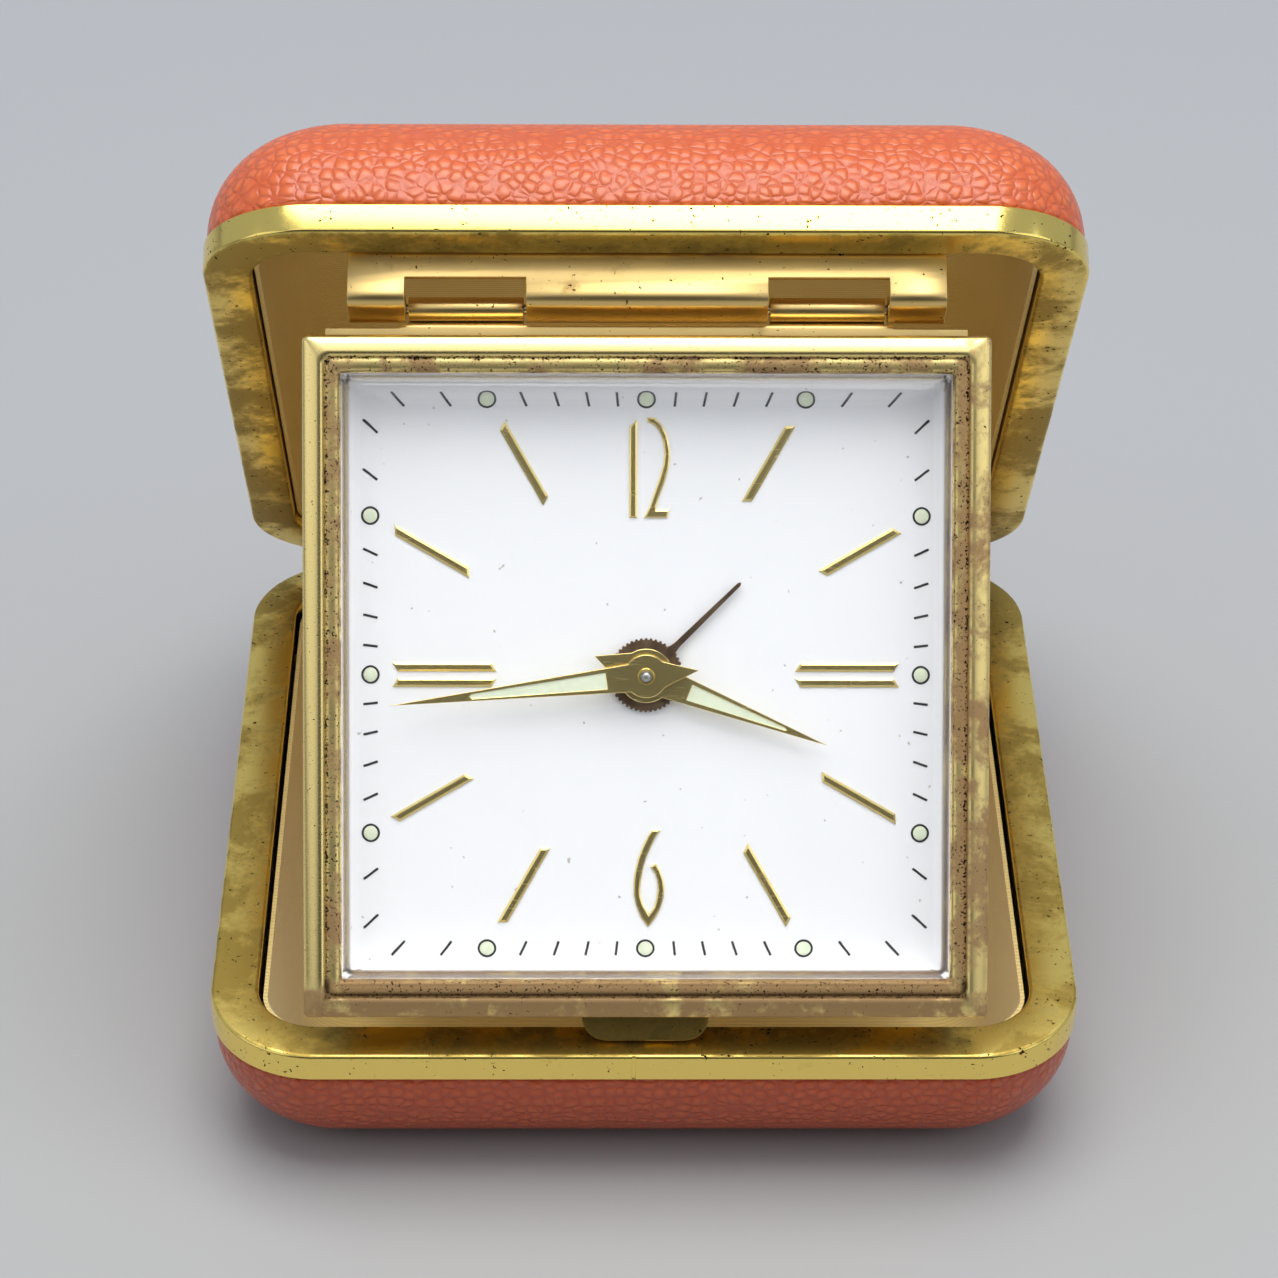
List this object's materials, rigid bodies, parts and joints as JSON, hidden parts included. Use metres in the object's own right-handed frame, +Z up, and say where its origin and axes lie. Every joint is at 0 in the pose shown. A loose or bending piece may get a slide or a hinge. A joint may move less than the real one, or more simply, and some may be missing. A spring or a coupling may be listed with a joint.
{
  "type": "folding travel alarm clock",
  "caption": "Square alarm clock head hinged inside a leather-covered clamshell case, standing open on its brass rim.",
  "frame": {"origin": "middle of the base half's flat underside, on the surface it stands on", "axes": "+Z up, -Y the way the dial faces, +X to the right seen from the front"},
  "size_m": [0.08, 0.0879, 0.0849],
  "materials": {
    "leather": "coral pebble-grained leather, browner in the creases",
    "pan_steel": "pressed sheet steel",
    "satin": "gold ribbed satin on card",
    "rim_brass": "bright brass with tarnish specks",
    "bezel_brass": "worn brass, pitted and dull",
    "steel": "drawn steel wire",
    "acrylic": "clear moulded acrylic, low crown",
    "dial_white": "white enamel paint with gilt batons",
    "movement_brass": "plain stamped brass",
    "gilt": "polished gilt",
    "bronze": "dark bronzed steel"
  },
  "bodies": {
    "base": {"base_cover": "leather", "base_shell": "pan_steel", "base_lining": "satin", "base_rim": "rim_brass", "base_hinge_leaf": "rim_brass", "case_hinge_pin": "steel"},
    "lid": {"lid_cover": "leather", "lid_shell": "pan_steel", "lid_lining": "satin", "lid_rim": "rim_brass", "lid_hinge_leaf": "rim_brass", "head_hinge_plate": "rim_brass", "head_hinge_pin": "steel"},
    "head": {"bezel": "bezel_brass", "crystal": "acrylic", "dial": "dial_white", "head_case": "bezel_brass", "back_cover": "bezel_brass", "head_hinge_leaf": "rim_brass", "support_tab": "bezel_brass", "front_plate": "movement_brass", "back_plate": "movement_brass", "hairspring": "steel", "cover_screw_1": "movement_brass", "cover_screw_2": "movement_brass", "cover_screw_3": "movement_brass", "cover_screw_4": "movement_brass"},
    "minute": {"minute_hand": "gilt", "centre_arbor": "steel", "time_set_knob": "movement_brass", "centre_wheel": "movement_brass", "cannon_pinion": "movement_brass"},
    "hour": {"hour_hand": "gilt", "hour_wheel": "movement_brass"},
    "alarm": {"alarm_hand": "bronze", "alarm_wheel": "movement_brass"},
    "alarm_knob": {"alarm_set_knob": "movement_brass"},
    "time_key": {"time_winding_key": "movement_brass"},
    "alarm_key": {"alarm_winding_key": "movement_brass"},
    "stop": {"alarm_stop_button": "movement_brass"},
    "regulator": {"regulator_lever": "steel"},
    "barrel": {"going_barrel": "movement_brass"},
    "alarm_drum": {"alarm_barrel": "movement_brass"},
    "third": {"third_wheel": "movement_brass"},
    "fourth": {"fourth_wheel": "movement_brass"},
    "escape": {"escape_wheel": "movement_brass"},
    "pallet": {"pallet_lever": "steel"},
    "balance": {"balance_wheel": "movement_brass"},
    "motion": {"minute_wheel": "movement_brass"},
    "hammer": {"alarm_hammer": "steel"}
  },
  "joints": [
    {"name": "lid_hinge", "type": "hinge", "parent": "base", "child": "lid", "pos_m": [0, 0.041, 0.015], "axis": [-1, 0, 0], "range_deg": [0, 35]},
    {"name": "head_fold", "type": "hinge", "parent": "lid", "child": "head", "pos_m": [0, -0.00345, 0.07161], "axis": [1, 0, 0], "range_deg": [0, 67.2]},
    {"name": "minute_turn", "type": "hinge", "parent": "head", "child": "minute", "pos_m": [0, -0.02415, 0.04569], "axis": [0, 0.851, -0.5252], "continuous": true},
    {"name": "hour_turn", "type": "hinge", "parent": "head", "child": "hour", "pos_m": [0, -0.02415, 0.04569], "axis": [0, 0.851, -0.5252], "continuous": true},
    {"name": "alarm_turn", "type": "hinge", "parent": "head", "child": "alarm", "pos_m": [0, -0.02415, 0.04569], "axis": [0, 0.851, -0.5252], "continuous": true},
    {"name": "alarm_knob_turn", "type": "hinge", "parent": "head", "child": "alarm_knob", "pos_m": [-0.00917, -0.02752, 0.04022], "axis": [0, 0.851, -0.5252], "continuous": true},
    {"name": "time_key_turn", "type": "hinge", "parent": "head", "child": "time_key", "pos_m": [0.00815, -0.02774, 0.03987], "axis": [0, 0.851, -0.5252], "range_deg": [0, 1980]},
    {"name": "alarm_key_turn", "type": "hinge", "parent": "head", "child": "alarm_key", "pos_m": [-0.0135, -0.03255, 0.03208], "axis": [0, 0.851, -0.5252], "range_deg": [0, 1440]},
    {"name": "stop_press", "type": "slide", "parent": "head", "child": "stop", "axis": [0, -0.851, 0.5252], "range_m": [0, 0.0011], "stiffness_N_per_m": 300},
    {"name": "regulator_turn", "type": "hinge", "parent": "head", "child": "regulator", "pos_m": [0.01789, -0.01896, 0.0541], "axis": [0, 0.851, -0.5252], "range_deg": [-24, 24]},
    {"name": "barrel_turn", "type": "hinge", "parent": "head", "child": "barrel", "pos_m": [0.00815, -0.02774, 0.03987], "axis": [0, 0.851, -0.5252], "continuous": true},
    {"name": "third_turn", "type": "hinge", "parent": "head", "child": "third", "pos_m": [-0.00827, -0.0205, 0.0516], "axis": [0, 0.851, -0.5252], "continuous": true},
    {"name": "fourth_turn", "type": "hinge", "parent": "head", "child": "fourth", "pos_m": [-0.00178, -0.01709, 0.05712], "axis": [0, 0.851, -0.5252], "continuous": true},
    {"name": "escape_turn", "type": "hinge", "parent": "head", "child": "escape", "pos_m": [0.00731, -0.01642, 0.05821], "axis": [0, 0.851, -0.5252], "continuous": true},
    {"name": "motion_turn", "type": "hinge", "parent": "head", "child": "motion", "pos_m": [-0.00104, -0.02104, 0.05072], "axis": [0, 0.851, -0.5252], "continuous": true},
    {"name": "pallet_swing", "type": "hinge", "parent": "head", "child": "pallet", "pos_m": [0.01069, -0.01896, 0.0541], "axis": [0, 0.851, -0.5252], "range_deg": [-3, 3]},
    {"name": "balance_swing", "type": "hinge", "parent": "head", "child": "balance", "pos_m": [0.01789, -0.01896, 0.0541], "axis": [0, 0.851, -0.5252], "range_deg": [-270, 270]},
    {"name": "alarm_barrel_turn", "type": "hinge", "parent": "head", "child": "alarm_drum", "pos_m": [-0.0135, -0.03255, 0.03208], "axis": [0, 0.851, -0.5252], "continuous": true},
    {"name": "hammer_swing", "type": "hinge", "parent": "head", "child": "hammer", "pos_m": [-0.021, -0.02572, 0.04314], "axis": [0, 0.851, -0.5252], "range_deg": [-6, 6]}
  ],
  "couplings": [
    {"joint": "head_fold", "follows": "lid_hinge", "ratio": 1.92},
    {"joint": "hour_turn", "follows": "minute_turn", "ratio": 0.083333},
    {"joint": "motion_turn", "follows": "minute_turn", "ratio": -0.33333},
    {"joint": "barrel_turn", "follows": "minute_turn", "ratio": -0.16667},
    {"joint": "third_turn", "follows": "minute_turn", "ratio": -8},
    {"joint": "fourth_turn", "follows": "minute_turn", "ratio": 60},
    {"joint": "escape_turn", "follows": "minute_turn", "ratio": -480},
    {"joint": "alarm_knob_turn", "follows": "alarm_turn", "ratio": -2.5}
  ]
}
